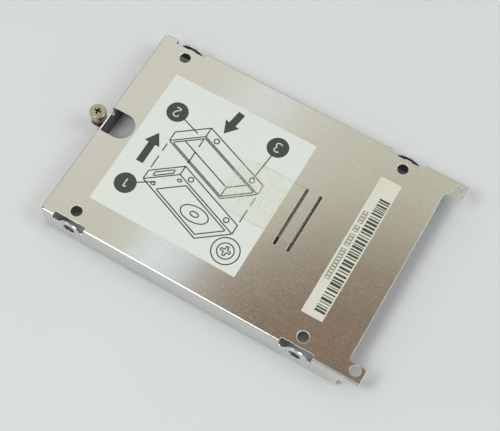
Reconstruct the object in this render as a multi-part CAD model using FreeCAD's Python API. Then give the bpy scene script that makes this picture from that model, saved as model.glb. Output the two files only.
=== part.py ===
import FreeCAD, Part
import math
import os

# Hard drive caddy: a tray folded from one sheet, plate up, with a captive screw at its front (-X),
# two fixing ears at its rear (+X), a clear pull strap and two labels on its plate.
# Millimetres. The tray stands on z = 0, and y = 0 is its middle.

# Drive in the tray, a standard 2.5 inch drive with its underside against the plate
drive_width = 69.85
drive_hole_pitch = 76.6  # front to rear fixing holes
drive_hole_inset = 4.065  # bottom holes, from the drive's side
drive_hole_to_front = 9.4  # front holes, from the drive's front end
drive_side_hole_height = 3.0  # side holes, from the drive's underside
drive_side_gap = 0.275
drive_end_gap = 0.05

# Sheet and its folds
sheet = 0.6
bend_inside = 0.3
corner_gap = 0.3  # between the front flange and the side flanges
corner_relief_d = 0.6

# Plate and side flanges
tray_height = 9.5
flange_lift = 0.65  # side flange's lower edge above the table, ahead of the heel
heel_length = 16.8  # rear stretch of the flange that reaches the table
heel_step_run = 1.2
heel_corner_r = 0.9
flange_setback = 0.6  # flange's rear edge, ahead of the plate's rear edge
flange_nose_run = 1.5
flange_nose_rise = 3.4
flange_nose_r = 2.4
front_flange_corner_r = 2.0
plate_past_holes = 14.4  # plate's rear edge behind the rear holes
plate_hole_d = 3.4

# Ears at the rear corners
ear_length = 5.8
ear_width = 5.6
ear_corner_r = 1.2
ear_lip_depth = 4.2  # flange left under an ear where it starts, from the plate's top
ear_lip_tip_depth = 1.2  # and at the ear's tip
ear_lip_corner_r = 0.6
ear_lip_fillet_r = 1.2
ear_hole_d = 3.2
ear_hole_to_tip = 2.9
ear_hole_to_side = 3.65

# Arched tongues for the drive's side screws
tongue_r = 4.4
tongue_gap = 0.9  # between the arch and the notch's ends
tongue_slot_depth = 2.8  # from the plate's top
tongue_slot_r = 0.5
tongue_hole_d = 3.8
notch_inset = 1.7  # notch in the plate's edge, from the tray's side
notch_corner_r = 0.4

# Screw tab, lanced out of the plate's front edge and folded outwards
tab_width = 6.4
tab_slot = 1.2  # gap lanced round the tab
tab_drop = 2.2  # tab's top below the plate's top
tab_slot_depth = 3.8
lance_length = 10.3  # open end of the lanced gap, from the tray's front face

# Captive screw, its spring and its ring
screw_reach = 2.3  # screw axis ahead of the tray's front face
head_d = 5.2
head_height = 2.7
head_top = 2.0  # above the plate's top
head_edge = 0.25
recess_span = 2.3
recess_width = 0.55
recess_depth = 1.1
recess_core_d = 1.1
neck_d = 2.0
thread_d = 2.5
thread_tip_lift = 0.4  # tip above the table
thread_tip_chamfer = 0.4
tab_hole_d = 2.9
ring_d = 4.0
ring_thickness = 0.4
ring_mouth = 1.5
ring_bore_gap = 0.03
ring_end_gap = 0.05
spring_wire = 0.3
spring_turns = 2.25
spring_foot_d = 4.0
spring_top_d = 2.9
spring_end_gap = 0.04
spring_arcs_per_turn = 4
spring_wire_flats = 8  # the round wire, drawn with flats

# Labels and pull strap
label_thickness = 0.1
label_corner_r = 0.4
diagram_length = 49.9
diagram_width = 49.5
diagram_to_front = 10.9  # from the tray's front face
diagram_side_shift = -0.5
barcode_length = 6.9
barcode_width = 49.7
barcode_to_holes = -0.95  # label's middle, from the rear hole line
barcode_side_shift = 0.5
strap_slot_length = 20.8
strap_slot_width = 0.95
strap_slot_pitch = 4.55
strap_slot_to_diagram = 4.6
film = 0.15
strap_width = 18.0
strap_side_shift = 1.25
strap_tail = 22.3  # from the first slot to the free end
strap_corner_r = 4.6
strap_fold_r = 0.25
strap_under_gap = 0.1  # loop below the plate
grip_count = 4
grip_pitch = 4.3
grip_bar = 2.3
grip_width = 9.8
grip_height = 0.2
grip_to_slot = 6.4  # first bar's middle, from the first slot

# Places that follow from the sizes
half_inner = drive_width / 2 + drive_side_gap
half_outer = half_inner + sheet
bend_outside = bend_inside + sheet
hole_x = drive_hole_pitch / 2
hole_y = drive_width / 2 - drive_hole_inset
front_inner = -(hole_x + drive_hole_to_front + drive_end_gap)
front_outer = front_inner - sheet
side_front = front_inner + corner_gap
front_half = half_inner - corner_gap
plate_top = tray_height
plate_under = plate_top - sheet
plate_rear = hole_x + plate_past_holes
ear_tip = plate_rear + ear_length
ear_inner = half_outer - ear_width
flange_rear = plate_rear - flange_setback
heel_front = flange_rear - heel_length
side_hole_z = plate_under - drive_side_hole_height
screw_x = front_outer - screw_reach
tab_top = plate_top - tab_drop
tab_under = tab_top - sheet
tab_tip = screw_x - tab_width / 2
head_under = plate_top + head_top - head_height
ring_top = tab_under - ring_end_gap
neck_end = ring_top - ring_thickness - ring_end_gap
diagram_front = front_outer + diagram_to_front
diagram_rear = diagram_front + diagram_length
slot_front = diagram_rear + strap_slot_to_diagram
slot_rear = slot_front + strap_slot_pitch
strap_foot = plate_top + label_thickness
strap_top = strap_foot + 2 * film
middle_x = (tab_tip + ear_tip) / 2  # the part's origin is under the middle of its box
past = 1.0  # how far a cutter runs past the sheet

axes = {
    "plan": (FreeCAD.Vector(1, 0, 0), FreeCAD.Vector(0, 1, 0), FreeCAD.Vector(0, 0, 1)),
    "side": (FreeCAD.Vector(1, 0, 0), FreeCAD.Vector(0, 0, 1), FreeCAD.Vector(0, 1, 0)),
    "end": (FreeCAD.Vector(0, 1, 0), FreeCAD.Vector(0, 0, 1), FreeCAD.Vector(1, 0, 0)),
}


def outline(corners, view):
    """Closed wire through (u, v) or (u, v, radius) corners in a view."""
    right, up, _ = axes[view]
    points = [right * corner[0] + up * corner[1] for corner in corners]
    radii = [corner[2] if len(corner) > 2 else 0.0 for corner in corners]
    starts, arcs, ends = [], [], []
    for i, point in enumerate(points):
        back = points[i - 1] - point
        ahead = points[(i + 1) % len(points)] - point
        half_angle = back.getAngle(ahead) / 2
        back.normalize()
        ahead.normalize()
        run = radii[i] / math.tan(half_angle)
        start = point + back * run
        end = point + ahead * run
        starts.append(start)
        ends.append(end)
        if radii[i] > 0:
            inward = back + ahead
            inward.normalize()
            crown = point + inward * (radii[i] / math.sin(half_angle) - radii[i])
            arcs.append(Part.Arc(start, crown, end).toShape())
        else:
            arcs.append(None)
    edges = []
    for i, arc in enumerate(arcs):
        if (starts[i] - ends[i - 1]).Length > 1e-6:
            edges.append(Part.makeLine(ends[i - 1], starts[i]))
        if arc:
            edges.append(arc)
    return Part.Wire(edges)


def prism(corners, view, low, high):
    """Solid of an outline, from low to high along the view's line of sight."""
    sight = axes[view][2]
    face = Part.Face(outline(corners, view))
    face.translate(sight * low)
    return face.extrude(sight * (high - low))


def slab(x_low, x_high, y_low, y_high, z_low, z_high, corner_r=0.0):
    """Flat block with its four upright edges rounded."""
    corners = [(x_low, y_low, corner_r), (x_high, y_low, corner_r),
               (x_high, y_high, corner_r), (x_low, y_high, corner_r)]
    return prism(corners, "plan", z_low, z_high)


def upright(x, y, z_low, z_high, diameter):
    """Upright cylinder."""
    return Part.makeCylinder(diameter / 2, z_high - z_low, FreeCAD.Vector(x, y, z_low))


def channel():
    """Plate with its two side flanges, trimmed to the side view and the plan."""
    section = prism([
        (-half_outer, -past), (-half_outer, plate_top, bend_outside),
        (half_outer, plate_top, bend_outside), (half_outer, -past),
        (half_inner, -past), (half_inner, plate_under, bend_inside),
        (-half_inner, plate_under, bend_inside), (-half_inner, -past),
    ], "end", side_front - past, ear_tip + past)
    side_view = prism([
        (side_front, plate_top + past), (ear_tip, plate_top + past),
        (ear_tip, plate_top - ear_lip_tip_depth, ear_lip_corner_r),
        (flange_rear, plate_top - ear_lip_depth, ear_lip_fillet_r),
        (flange_rear, 0, heel_corner_r),
        (heel_front, 0, heel_corner_r),
        (heel_front - heel_step_run, flange_lift, heel_corner_r),
        (side_front + flange_nose_run, flange_lift, flange_nose_r),
        (side_front, flange_lift + flange_nose_rise, flange_nose_r),
    ], "side", -half_outer - past, half_outer + past)
    plan = prism([
        (side_front - past, -half_outer - past), (ear_tip, -half_outer - past),
        (ear_tip, -ear_inner, ear_corner_r), (plate_rear, -ear_inner, ear_corner_r),
        (plate_rear, ear_inner, ear_corner_r), (ear_tip, ear_inner, ear_corner_r),
        (ear_tip, half_outer + past), (side_front - past, half_outer + past),
    ], "plan", -past, plate_top + past)
    return section.common(side_view).common(plan)


def front_flange():
    """Front edge folded down, with its lower corners rounded."""
    fold = prism([
        (front_outer, 0), (front_outer, plate_top, bend_outside),
        (side_front + bend_outside, plate_top), (side_front + bend_outside, plate_under),
        (front_inner, plate_under, bend_inside), (front_inner, 0),
    ], "side", -front_half, front_half)
    front_view = prism([
        (-front_half, 0, front_flange_corner_r), (front_half, 0, front_flange_corner_r),
        (front_half, plate_top + past), (-front_half, plate_top + past),
    ], "end", front_outer - past, side_front + bend_outside + past)
    return fold.common(front_view)


def lance():
    """Gap lanced out of the plate and the front flange, round the screw tab."""
    half = tab_width / 2 + tab_slot
    slot_middle_z = plate_top - tab_slot_depth + tab_slot / 2
    gap = slab(front_outer - lance_length, front_outer + lance_length, -half, half,
               slot_middle_z, plate_top + past, half)
    for side in (-1, 1):
        slot_middle_y = side * (half - tab_slot / 2)
        slot_end = FreeCAD.Vector(front_outer - past, slot_middle_y, slot_middle_z)
        gap = gap.fuse(Part.makeCylinder(tab_slot / 2, sheet + 2 * past, slot_end, axes["end"][2]))
    return gap


def screw_tab():
    """Strip of the front flange, folded outwards and rounded about the screw."""
    foot = plate_top - tab_slot_depth - past
    strip = prism([
        (front_inner, foot), (front_inner, tab_top, bend_outside), (tab_tip, tab_top),
        (tab_tip, tab_under), (front_outer, tab_under, bend_inside), (front_outer, foot),
    ], "side", -tab_width / 2, tab_width / 2)
    half = tab_width / 2
    round_end = slab(tab_tip, front_inner + tab_width, -half, half, foot - past, tab_top + past, half)
    return strip.common(round_end).cut(upright(screw_x, 0, tab_under - past, tab_top + past, tab_hole_d))


def tongue_notch(x, side):
    """Notch in the plate's edge and the flange below it."""
    half = tongue_r + tongue_gap
    slot_foot = plate_top - tongue_slot_depth
    inner = side * (half_outer - notch_inset)
    outer = side * (half_outer + past)
    plan = slab(x - half, x + half, min(inner, outer + side), max(inner, outer + side),
                slot_foot - past, plate_top + 2 * past, notch_corner_r)
    side_view = prism([
        (x - half, slot_foot, tongue_slot_r), (x + half, slot_foot, tongue_slot_r),
        (x + half, plate_top + past), (x - half, plate_top + past),
    ], "side", min(inner, outer), max(inner, outer))
    return plan.common(side_view)


def tongue(x, side):
    """Arched tongue that stands in the notch, in line with the flange and as high as the plate."""
    slot_foot = plate_top - tongue_slot_depth
    inner_y = min(side * half_inner, side * half_outer)
    arch_foot = FreeCAD.Vector(x, inner_y, plate_top - tongue_r)
    arch = Part.makeCylinder(tongue_r, sheet, arch_foot, axes["side"][2])
    stem = prism([
        (x - tongue_r, slot_foot - tongue_slot_r), (x + tongue_r, slot_foot - tongue_slot_r),
        (x + tongue_r, plate_top + past), (x - tongue_r, plate_top + past),
    ], "side", inner_y, inner_y + sheet)
    return arch.common(stem)


def tray():
    body = channel().fuse(front_flange()).cut(lance()).fuse(screw_tab())
    cutters = []
    tongues = []
    for side in (-1, 1):
        relief_y = side * (half_outer - bend_outside)
        cutters.append(upright(side_front, relief_y, plate_under - past, plate_top + past, corner_relief_d))
        cutters.append(upright(ear_tip - ear_hole_to_tip, side * (half_outer - ear_hole_to_side),
                               plate_under - past, plate_top + past, ear_hole_d))
        for x in (-hole_x, hole_x):
            cutters.append(upright(x, side * hole_y, plate_under - past, plate_top + past, plate_hole_d))
            cutters.append(tongue_notch(x, side))
            tongues.append(tongue(x, side))
    for x in (slot_front, slot_rear):
        half_slot = strap_slot_width / 2
        cutters.append(slab(x - half_slot, x + half_slot, -strap_slot_length / 2, strap_slot_length / 2,
                            plate_under - past, plate_top + past, half_slot))
    body = body.cut(cutters).fuse(tongues)
    screw_holes = []
    for x in (-hole_x, hole_x):
        start = FreeCAD.Vector(x, -half_outer - past, side_hole_z)
        length = 2 * (half_outer + past)
        screw_holes.append(Part.makeCylinder(tongue_hole_d / 2, length, start, axes["side"][2]))
    return body.cut(screw_holes).removeSplitter()


def turned(profile):
    """Solid turned about the screw's axis from (radius, height) corners."""
    right, up, _ = axes["side"]
    points = [right * (screw_x + radius) + up * height for radius, height in profile]
    face = Part.Face(Part.makePolygon(points + points[:1]))
    return face.revolve(FreeCAD.Vector(screw_x, 0, 0), up, 360)


def captive_screw():
    head_top_z = plate_top + head_top
    body = turned([
        (0, thread_tip_lift), (thread_d / 2 - thread_tip_chamfer, thread_tip_lift),
        (thread_d / 2, thread_tip_lift + thread_tip_chamfer), (thread_d / 2, neck_end),
        (neck_d / 2, neck_end), (neck_d / 2, head_under), (head_d / 2 - head_edge, head_under),
        (head_d / 2, head_under + head_edge), (head_d / 2, head_top_z - head_edge),
        (head_d / 2 - head_edge, head_top_z), (0, head_top_z),
    ])
    half_span = recess_span / 2
    half_width = recess_width / 2
    recess_foot = head_top_z - recess_depth
    wing = prism([
        (screw_x - half_span, head_top_z), (screw_x + half_span, head_top_z),
        (screw_x + half_width, recess_foot), (screw_x - half_width, recess_foot),
    ], "side", -half_width, half_width)
    axis_foot = FreeCAD.Vector(screw_x, 0, 0)
    cross_wing = wing.copy()
    cross_wing.rotate(axis_foot, axes["plan"][2], 90)
    core = Part.makeCone(recess_width / 2, recess_core_d / 2, recess_depth,
                         FreeCAD.Vector(screw_x, 0, recess_foot))
    return body.cut([wing, cross_wing, core])


def retaining_ring():
    ring_foot = ring_top - ring_thickness
    ring = upright(screw_x, 0, ring_foot, ring_top, ring_d)
    bore = upright(screw_x, 0, ring_foot, ring_top, neck_d + 2 * ring_bore_gap)
    mouth = slab(screw_x - ring_d, screw_x, -ring_mouth / 2, ring_mouth / 2, ring_foot, ring_top)
    return ring.cut([bore, mouth])


def tangent_arc(start, end, heading):
    """Arc from start to end that leaves along heading, and its heading at the end."""
    chord = end - start
    along = FreeCAD.Vector(chord).normalize()
    across = heading - along * heading.dot(along)
    half_turn = heading.getAngle(along)
    crown = (start + end) / 2 + across.normalize() * (chord.Length / 2 * math.tan(half_turn / 2))
    return Part.Arc(start, crown, end).toShape(), along * (2 * heading.dot(along)) - heading


def screw_spring():
    """Conical coil, wide end on the tab, narrow end under the screw's head."""
    foot = tab_top + spring_end_gap + spring_wire / 2
    crown = head_under - spring_end_gap - spring_wire / 2

    def on_coil(share):
        turn = 2 * math.pi * spring_turns * share
        radius = (spring_foot_d + (spring_top_d - spring_foot_d) * share) / 2
        return FreeCAD.Vector(screw_x + radius * math.cos(turn), radius * math.sin(turn),
                              foot + (crown - foot) * share)

    arc_count = math.ceil(spring_turns * spring_arcs_per_turn)
    heading = (on_coil(0.001) - on_coil(-0.001)).normalize()
    section_circle = Part.makeCircle(spring_wire / 2, on_coil(0), heading)
    path = []
    for i in range(arc_count):
        arc, heading = tangent_arc(on_coil(i / arc_count), on_coil((i + 1) / arc_count), heading)
        path.append(arc)
    rim = [section_circle.valueAt(2 * math.pi * i / spring_wire_flats) for i in range(spring_wire_flats)]
    return Part.Wire(path).makePipeShell([Part.makePolygon(rim + rim[:1])], True, True)


def label(x_low, length, y_middle, width):
    """Thin label on the plate."""
    return slab(x_low, x_low + length, y_middle - width / 2, y_middle + width / 2,
                plate_top, plate_top + label_thickness, label_corner_r)


def pull_strap():
    """Film looped down the rear slot, under the bridge and up the front slot, with a doubled tail."""
    free_end = slot_front - strap_tail
    loop_foot = plate_under - strap_under_gap - film
    y_low = strap_side_shift - strap_width / 2
    y_high = strap_side_shift + strap_width / 2
    outside = prism([
        (free_end, strap_foot), (slot_front - film / 2, strap_foot),
        (slot_front - film / 2, loop_foot, strap_fold_r), (slot_rear + film / 2, loop_foot, strap_fold_r),
        (slot_rear + film / 2, strap_top, strap_fold_r), (free_end, strap_top),
    ], "side", y_low, y_high)
    fold_inside = strap_fold_r - film
    inside = prism([
        (slot_front + film / 2, loop_foot + film, fold_inside),
        (slot_rear - film / 2, loop_foot + film, fold_inside),
        (slot_rear - film / 2, strap_top - film, fold_inside),
        (slot_front + film / 2, strap_top - film, fold_inside),
    ], "side", y_low, y_high)
    plan = slab(free_end, slot_rear + strap_tail, y_low, y_high, loop_foot - past, strap_top + past,
                strap_corner_r)
    strap = outside.cut(inside).common(plan)
    bars = []
    for i in range(grip_count):
        x = slot_front - grip_to_slot - i * grip_pitch
        bars.append(slab(x - grip_bar / 2, x + grip_bar / 2, strap_side_shift - grip_width / 2,
                         strap_side_shift + grip_width / 2, strap_top, strap_top + grip_height, grip_bar / 2))
    return strap.fuse(bars).removeSplitter()


pieces = {
    "tray": tray(),
    "captive_screw": captive_screw(),
    "retaining_ring": retaining_ring(),
    "screw_spring": screw_spring(),
    "diagram_label": label(diagram_front, diagram_length, diagram_side_shift, diagram_width),
    "barcode_label": label(hole_x + barcode_to_holes - barcode_length / 2, barcode_length,
                           barcode_side_shift, barcode_width),
    "pull_strap": pull_strap(),
}

os.makedirs("parts", exist_ok=True)
for name, shape in pieces.items():
    shape.translate(FreeCAD.Vector(-middle_x, 0, 0))
    shape.exportStep("parts/" + name + ".step")
    box = shape.BoundBox
    print(name, len(shape.Solids), "solids", shape.isValid(), round(shape.Volume, 3), "mm3",
          [round(v, 3) for v in (box.XMin, box.YMin, box.ZMin, box.XMax, box.YMax, box.ZMax)])
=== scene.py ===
import functools
import math

import bmesh
import bpy
from mathutils import Matrix, Vector


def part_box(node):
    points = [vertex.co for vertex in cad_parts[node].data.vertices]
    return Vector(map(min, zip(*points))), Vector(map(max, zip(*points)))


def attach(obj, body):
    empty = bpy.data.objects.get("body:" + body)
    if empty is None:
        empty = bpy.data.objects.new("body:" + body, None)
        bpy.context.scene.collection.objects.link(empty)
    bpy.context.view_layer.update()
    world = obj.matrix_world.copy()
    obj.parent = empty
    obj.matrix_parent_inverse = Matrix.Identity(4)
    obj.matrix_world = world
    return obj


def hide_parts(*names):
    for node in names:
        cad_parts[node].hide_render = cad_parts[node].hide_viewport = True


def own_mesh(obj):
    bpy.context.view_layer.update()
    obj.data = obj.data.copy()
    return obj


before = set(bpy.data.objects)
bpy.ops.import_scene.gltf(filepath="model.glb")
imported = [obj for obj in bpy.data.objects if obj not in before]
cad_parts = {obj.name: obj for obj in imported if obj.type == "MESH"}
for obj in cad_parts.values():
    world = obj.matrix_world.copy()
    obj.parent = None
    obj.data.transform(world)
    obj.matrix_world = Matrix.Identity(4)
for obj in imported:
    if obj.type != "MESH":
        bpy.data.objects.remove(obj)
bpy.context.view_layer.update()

mm = 0.001
scene = bpy.context.scene
scene.view_settings.view_transform = "Standard"
print("frame loaded with", len(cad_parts), "nodes")


def linear(hexColour):  # sRGB hex to linear RGBA
    channels = [int(hexColour[i:i + 2], 16) / 255 for i in (1, 3, 5)]
    return [c / 12.92 if c <= 0.04045 else ((c + 0.055) / 1.055) ** 2.4 for c in channels] + [1.0]


def addNode(tree, kind, inputs=None, **settings):
    # one node with its settings; an input is a value, or a (node, output) pair to link
    node = tree.nodes.new(kind)
    for name, value in settings.items():
        setattr(node, name, value)
    for name, value in (inputs or {}).items():
        if isinstance(value, tuple) and isinstance(value[0], bpy.types.Node):
            tree.links.new(value[0].outputs[value[1]], node.inputs[name])
        else:
            node.inputs[name].default_value = value
    return node


def newMaterial(name):
    material = bpy.data.materials.new(name)
    material.use_nodes = True
    material.node_tree.nodes.clear()
    return material, material.node_tree


def surfaced(material, skin, output="BSDF"):  # the last node of every material
    addNode(material.node_tree, "ShaderNodeOutputMaterial", {"Surface": (skin, output)})
    return material


def placed(name, mesh):  # a finished piece: object at the origin, its place in its mesh
    piece = bpy.data.objects.new(name, mesh)
    scene.collection.objects.link(piece)
    return piece


def meshOf(work, name):
    mesh = bpy.data.meshes.new(name)
    work.to_mesh(mesh)
    work.free()
    return mesh


def coat(piece, material):
    piece.data.materials.clear()
    piece.data.materials.append(material)


def dress(piece, material, body, slot, *replaced):
    coat(piece, material)
    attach(piece, body)
    if replaced:
        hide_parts(*replaced)
    return piece


def newTree(name, sizes, counts, material):  # a Geometry Nodes tree with named inputs
    tree = bpy.data.node_groups.new(name, "GeometryNodeTree")
    inputs = {"Geometry": ["Geometry"], "Float": sizes, "Int": counts, "Material": [material]}
    for kind, labels in inputs.items():
        for label in labels:
            tree.interface.new_socket(label, in_out="INPUT", socket_type="NodeSocket" + kind)
    tree.interface.new_socket("Geometry", in_out="OUTPUT", socket_type="NodeSocketGeometry")
    return tree, addNode(tree, "NodeGroupInput")


def closeTree(tree, last, material):  # every tree ends in Realize Instances and Set Material
    whole = addNode(tree, "GeometryNodeRealizeInstances", {"Geometry": last})
    inked = addNode(tree, "GeometryNodeSetMaterial", {"Geometry": (whole, 0), "Material": material})
    addNode(tree, "NodeGroupOutput", {"Geometry": (inked, 0)})
    return tree


def startPoints(name, spots=()):  # what a tree starts from; a tree that makes its own points needs none
    mesh = bpy.data.meshes.new(name)
    mesh.from_pydata(spots, [], [])
    return placed(name, mesh)


def grown(name, source, tree, values):  # runs a tree on an object and keeps the result as a plain mesh
    modifier = source.modifiers.new("grow", "NODES")
    modifier.node_group = tree
    for item in tree.interface.items_tree:
        if item.in_out == "INPUT" and item.name in values:
            modifier[item.identifier] = values[item.name]
    graph = bpy.context.evaluated_depsgraph_get()
    mesh = bpy.data.meshes.new_from_object(source.evaluated_get(graph))
    source.modifiers.remove(modifier)
    bpy.data.objects.remove(source)
    mesh.name = name
    return placed(name, mesh)


meshSettings = {
    "merge": 0.001, "sliver": 0.0005,  # mm, how close corners are merged, and the smallest edge that is kept
    "rimSlack": 0.01,  # mm, how far below its rounding a rim is still looked for
    "flatAngle": 0.5, "squareAngle": 0.3,  # degrees, what still counts as one flat, and as square to the axes
    "flatArea": 0.4,  # square mm, the least that leads its neighbours' shading
    "lookingDown": -0.3,  # a normal whose height is below this looks down
}


def cadCopy(node, m=meshSettings):  # a CAD node's mesh, its doubles merged and its flats made one face again
    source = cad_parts[node].data
    mesh = bpy.data.meshes.new(node)
    mesh.from_pydata([v.co for v in source.vertices], [], [list(p.vertices) for p in source.polygons])
    work = bmesh.new()
    work.from_mesh(mesh)
    bmesh.ops.remove_doubles(work, verts=work.verts, dist=m["merge"] * mm)
    bmesh.ops.dissolve_limit(work, angle_limit=math.radians(m["flatAngle"]), verts=work.verts, edges=work.edges)
    bpy.data.meshes.remove(mesh)
    return work


# Camera, solved from the drive's standard hole pattern: level, with the sideways shift of a cropped picture
cameraSettings = {
    "azimuth": 30.767, "elevation": 65.221,  # degrees
    "place": (71.62, -139.14, 332.14),  # mm
    "lens": 86.72, "sensor": 36.0, "shift": 0.0692, "clipStart": 10.0,
}


def makeCamera(s):
    azimuth, elevation = (math.radians(s[name]) for name in ("azimuth", "elevation"))
    level = math.cos(elevation)
    back = Vector((math.sin(azimuth) * level, -math.cos(azimuth) * level, math.sin(elevation)))
    data = bpy.data.cameras.new("camera")
    data.lens = s["lens"]
    data.sensor_width = s["sensor"]
    data.shift_x = s["shift"]
    data.clip_start = s["clipStart"] * mm
    camera = bpy.data.objects.new("camera", data)
    turn = (-back).to_track_quat("-Z", "Y").to_matrix()
    camera.matrix_world = Matrix.Translation(Vector(s["place"]) * mm) @ turn.to_4x4()
    scene.collection.objects.link(camera)
    scene.camera = camera


makeCamera(cameraSettings)
print("camera placed")

# Room: plain walls, and overhead the soft zones that the plate mirrors, each laid over the one before
roomSettings = {
    "wall": "#CFD1D2", "ceiling": "#B7B9BA",
    "wallTop": 0.5,  # height on the unit sphere where the wall has become ceiling
    "zones": (  # direction, degrees to full colour, degrees to none
        {"colour": "#D6D4C2", "centre": (-0.22, 0.43, 1.0), "inner": 20.0, "outer": 38.0},
        {"colour": "#E6E5DB", "centre": (-0.61, 0.77, 1.0), "inner": 14.0, "outer": 24.0},
        {"colour": "#8E7969", "centre": (-0.044, 0.264, 1.0), "inner": 6.4, "outer": 12.4},
    ),
}


def makeRoom(s):
    world = bpy.data.worlds.new("room")
    scene.world = world
    world.use_nodes = True
    tree = world.node_tree
    tree.nodes.clear()
    where = addNode(tree, "ShaderNodeTexCoord")
    parts = addNode(tree, "ShaderNodeSeparateXYZ", {"Vector": (where, "Generated")})
    rise = addNode(tree, "ShaderNodeMapRange", {"Value": (parts, "Z"), "From Max": s["wallTop"]},
                   interpolation_type="SMOOTHSTEP")
    room = addNode(tree, "ShaderNodeMix", {"Factor": (rise, "Result"), "A": linear(s["wall"]),
                                           "B": linear(s["ceiling"])}, data_type="RGBA")
    for zone in s["zones"]:
        centre = Vector(zone["centre"]).normalized()
        near = addNode(tree, "ShaderNodeVectorMath", {0: (where, "Generated"), 1: centre},
                       operation="DOT_PRODUCT")
        share = addNode(tree, "ShaderNodeMapRange", {
            "Value": (near, "Value"), "From Min": math.cos(math.radians(zone["outer"])),
            "From Max": math.cos(math.radians(zone["inner"]))}, interpolation_type="SMOOTHSTEP")
        room = addNode(tree, "ShaderNodeMix", {"Factor": (share, "Result"), "A": (room, "Result"),
                                               "B": linear(zone["colour"])}, data_type="RGBA")
    light = addNode(tree, "ShaderNodeBackground", {"Color": (room, "Result")})
    addNode(tree, "ShaderNodeOutputWorld", {"Surface": (light, "Background")})


makeRoom(roomSettings)

# Lamps: the key box in front and left, and just before it the weaker glow that metal mirrors, a fill from the
# rear, and two ceiling panels over the plate; places and sizes in mm
lampSettings = {
    "keyBox": {"place": (-360.0, -560.0, 1080.0), "size": (430.0, 470.0), "colour": "#FAFCFF",
               "radiance": 6.0, "glossy": False},
    "keyGlow": {"place": (-353.0, -549.0, 1058.0), "size": (421.0, 460.0), "colour": "#FAFCFF",
                "radiance": 4.5},
    "rearFill": {"place": (840.0, 240.0, 1000.0), "size": (600.0, 600.0), "colour": "#F6FAFF",
                 "radiance": 3.5},
    "ceilingPanel": {"place": (-395.0, 385.0, 1510.0), "size": (111.0, 550.0), "colour": "#B3D4FF",
                     "radiance": 0.44, "level": True},
    "farPanel": {"place": (-395.0, 830.0, 1510.0), "size": (111.0, 340.0), "colour": "#B3D4FF",
                 "radiance": 0.2, "level": True},
}


def makeLamp(name, s):
    data = bpy.data.lights.new(name, "AREA")
    data.shape = "RECTANGLE"
    data.size, data.size_y = (side * mm for side in s["size"])
    data.color = linear(s["colour"])[:3]
    data.energy = s["radiance"] * math.pi * data.size * data.size_y
    lamp = bpy.data.objects.new(name, data)
    lamp.location = Vector(s["place"]) * mm
    if not s.get("level"):  # a level lamp faces straight down, the others face the tray
        lamp.rotation_euler = (-lamp.location).to_track_quat("-Z", "Y").to_euler()
    lamp.visible_glossy = s.get("glossy", True)
    scene.collection.objects.link(lamp)


for lampName, lampValues in lampSettings.items():
    makeLamp(lampName, lampValues)

# Floor: a pale laminate desk
floorSettings = {"radius": 1500.0, "sides": 96, "colour": "#D9DBDA", "mottle": "#D4D6D5", "mottleSize": 60.0,
                 "roughness": 0.6, "specular": 0.25}


def deskLaminate(s):
    # Melamine laminate, pressed matt: pale, with a faint mottle that keeps it from looking blank
    material, tree = newMaterial("deskLaminate")
    where = addNode(tree, "ShaderNodeTexCoord")
    cloud = addNode(tree, "ShaderNodeTexNoise", {"Vector": (where, "Object"), "Detail": 3.0,
                                                 "Scale": 1 / (s["mottleSize"] * mm)})
    tone = addNode(tree, "ShaderNodeMix", {"Factor": (cloud, "Fac"), "A": linear(s["colour"]),
                                           "B": linear(s["mottle"])}, data_type="RGBA")
    skin = addNode(tree, "ShaderNodeBsdfPrincipled", {
        "Base Color": (tone, "Result"), "Roughness": s["roughness"], "Specular IOR Level": s["specular"]})
    return surfaced(material, skin)


def makeFloor(s):
    work = bmesh.new()
    bmesh.ops.create_circle(work, cap_ends=True, segments=s["sides"], radius=s["radius"] * mm)
    floor = placed("floor", meshOf(work, "floor"))
    coat(floor, deskLaminate(s))


makeFloor(floorSettings)
print("room, lamps and floor ready")

# Tray
traySettings = {
    "edgeRoll": 0.15, "rimRoll": 0.28,  # mm, the rounding that the punch leaves along cut edges and round holes
    "edgeSteps": 2, "sharpAngle": 40.0, "smoothAngle": 50.0,  # degrees
    # mm, on both sides: the lance and the front corners, which stay sharp, and the drive holes' rims
    "keptSharp": ((-51.0, -1.0, -40.0, 9.0), (-51.0, 33.6, -47.6, 36.0)),
    "rims": ((-42.6, 28.9, -38.7, 32.75), (34.0, 28.9, 37.9, 32.75)),
    "flangeInside": 33.0, "frontInside": -48.0,  # mm, past these the flanges' inner sides lie
    "steel": "#E6E6E2", "steelDull": "#D8D7D1", "roughness": 0.10, "anisotropy": 0.6,
    "cutSteel": "#EEEDE8", "cutRoughness": 0.42,
    # the underside and the flanges' inner sides: a darker grey painted as shade, with a duller finish
    "shadedBackSteel": "#8C8C89", "backRoughness": 0.45,
    "grainLength": 9.0, "grainWidth": 0.32,  # mm; real brushing is about 0.05 wide, too fine to show
    "fleckLength": 1.0, "fleckRoughness": 0.09, "fleckRange": (0.5, 0.75), "fleckRelief": 0.8,
    "relief": 0.003, "reliefStrength": 0.3,  # mm, and how much of it the light sees
    "smudge": 18.0, "smudgeRange": (0.3, 0.7), "wear": (-0.01, 0.02),  # wear is added to the roughness
}


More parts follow.
